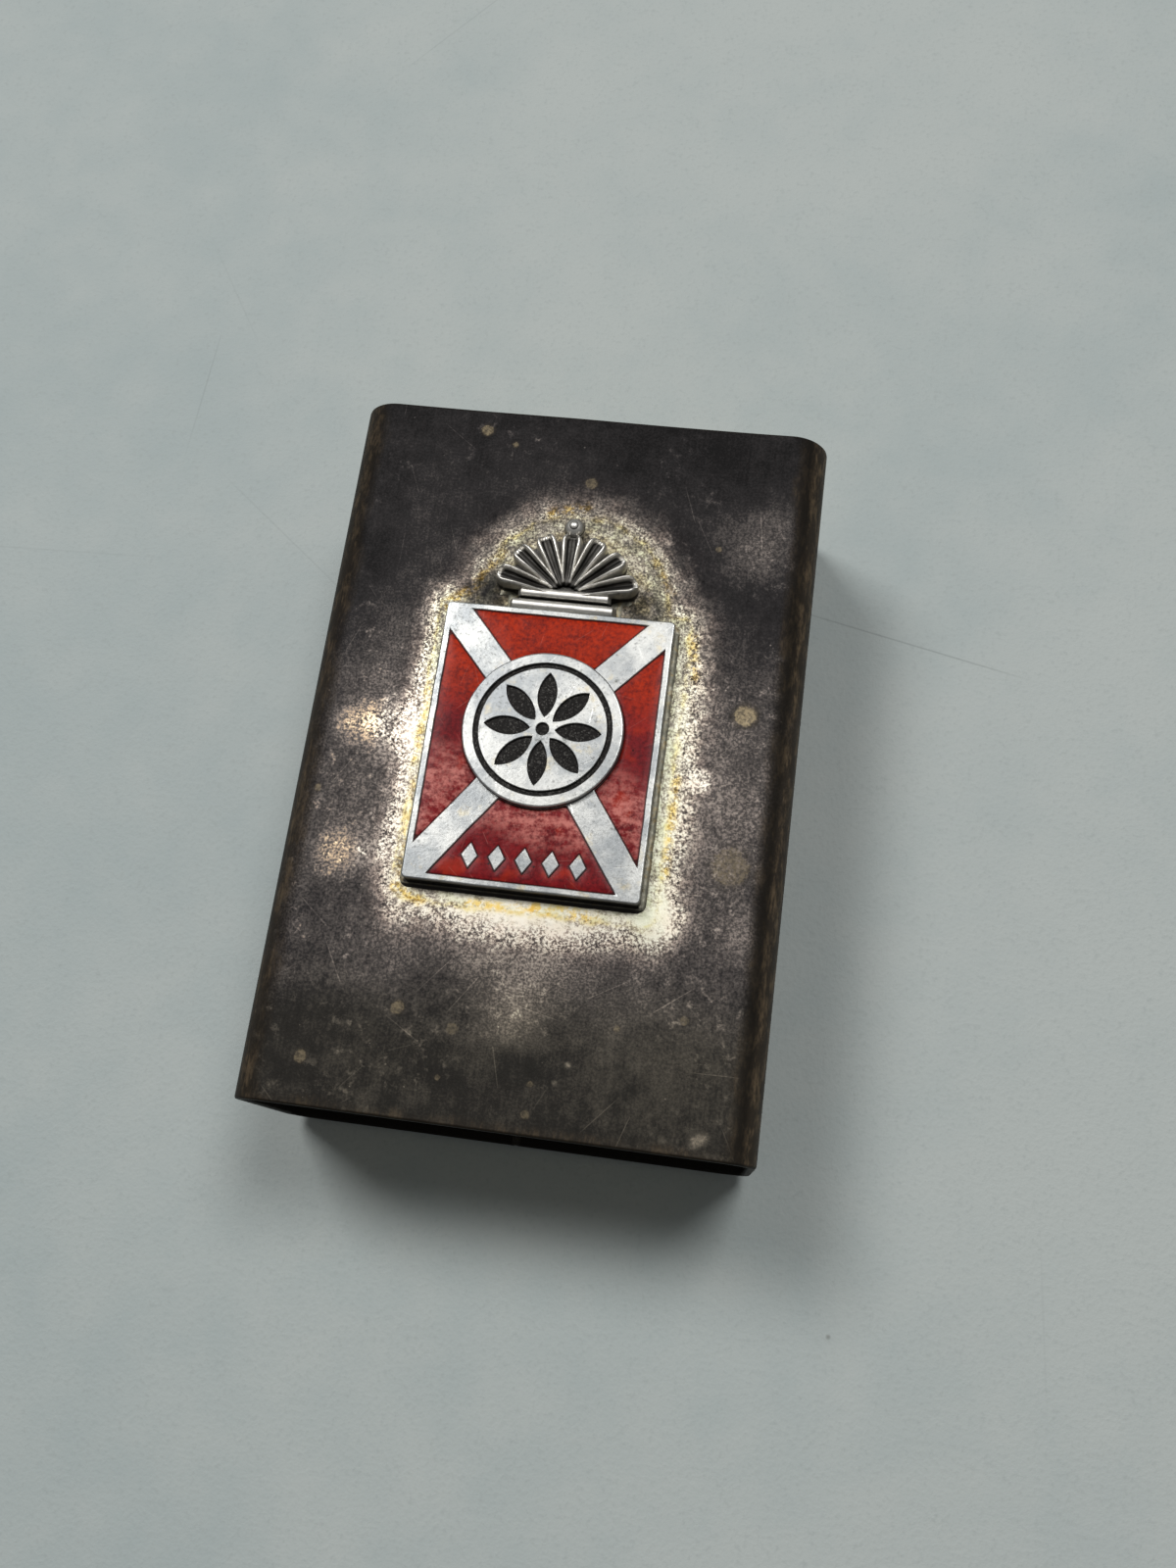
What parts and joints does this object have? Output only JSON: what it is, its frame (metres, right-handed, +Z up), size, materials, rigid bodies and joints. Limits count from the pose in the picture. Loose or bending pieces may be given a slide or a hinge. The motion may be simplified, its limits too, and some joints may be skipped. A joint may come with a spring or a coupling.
{
  "type": "matchbox holder",
  "caption": "Flat metal sleeve, open at both ends, with a red enamel badge and cast crest on top and a sliding box of matches inside.",
  "frame": {"origin": "middle of the holder's underside", "axes": "+Y along the sleeve towards the crest, +X across it to the right, +Z up through the badge"},
  "size_m": [0.039, 0.058, 0.0211],
  "materials": {
    "tarnished_plate": "silver plate tarnished dark, worn to brass at the edges",
    "soft_solder": "dull grey solder",
    "silver": "worn silver, dark in its recesses",
    "red_enamel": "clouded red glass enamel",
    "grey_card": "thin raw card",
    "printed_label": "printed paper, slightly faded",
    "striking_compound": "matt brown grit",
    "splint_wood": "raw aspen",
    "head_compound": "matt match head compound"
  },
  "bodies": {
    "holder": {"sleeve_shell": "tarnished_plate", "seam_solder": "soft_solder", "badge_solder": "soft_solder", "badge_plate": "silver", "medallion": "silver", "crest": "silver", "enamel_upper": "red_enamel", "enamel_lower": "red_enamel", "enamel_left": "red_enamel", "enamel_right": "red_enamel"},
    "matchbox": {"matchbox_cover": "grey_card", "label_upper": "printed_label", "label_lower": "printed_label", "striking_strip_left": "striking_compound", "striking_strip_right": "striking_compound"},
    "tray": {"match_tray": "grey_card", "match_splints": "splint_wood", "match_heads": "head_compound"}
  },
  "joints": [
    {"name": "matchbox_slide", "type": "slide", "parent": "holder", "child": "matchbox", "axis": [0, -1, 0], "range_m": [-0.06, 0.06]},
    {"name": "tray_slide", "type": "slide", "parent": "matchbox", "child": "tray", "axis": [0, -1, 0], "range_m": [-0.042, 0.042]}
  ]
}
